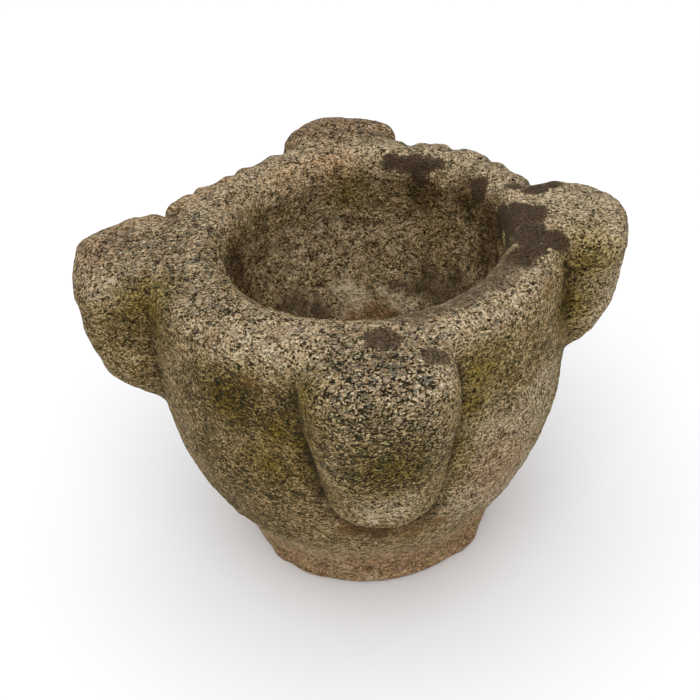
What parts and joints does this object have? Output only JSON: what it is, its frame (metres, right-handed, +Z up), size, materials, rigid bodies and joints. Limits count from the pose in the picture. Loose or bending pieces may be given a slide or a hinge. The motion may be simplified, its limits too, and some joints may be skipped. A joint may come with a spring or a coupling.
{
  "type": "molcajete",
  "caption": "Round stone mortar cut from one block: deep round bowl, thick rounded rim, lugs standing out from the rim, and a short round foot.",
  "frame": {"origin": "centre of the foot's underside, where the mortar stands", "axes": "+Z up along the bowl's axis, -Y towards the front lug, +X towards the right lug"},
  "size_m": [0.303, 0.2874, 0.198],
  "materials": {
    "granite": "pecked and weathered medium-grained granite, with algae in the creases and dark crusts on the rim"
  },
  "bodies": {
    "root": {"bowl": "granite", "foot": "granite", "lug_front": "granite", "lug_right": "granite", "lug_back": "granite", "lug_left": "granite"}
  },
  "joints": []
}
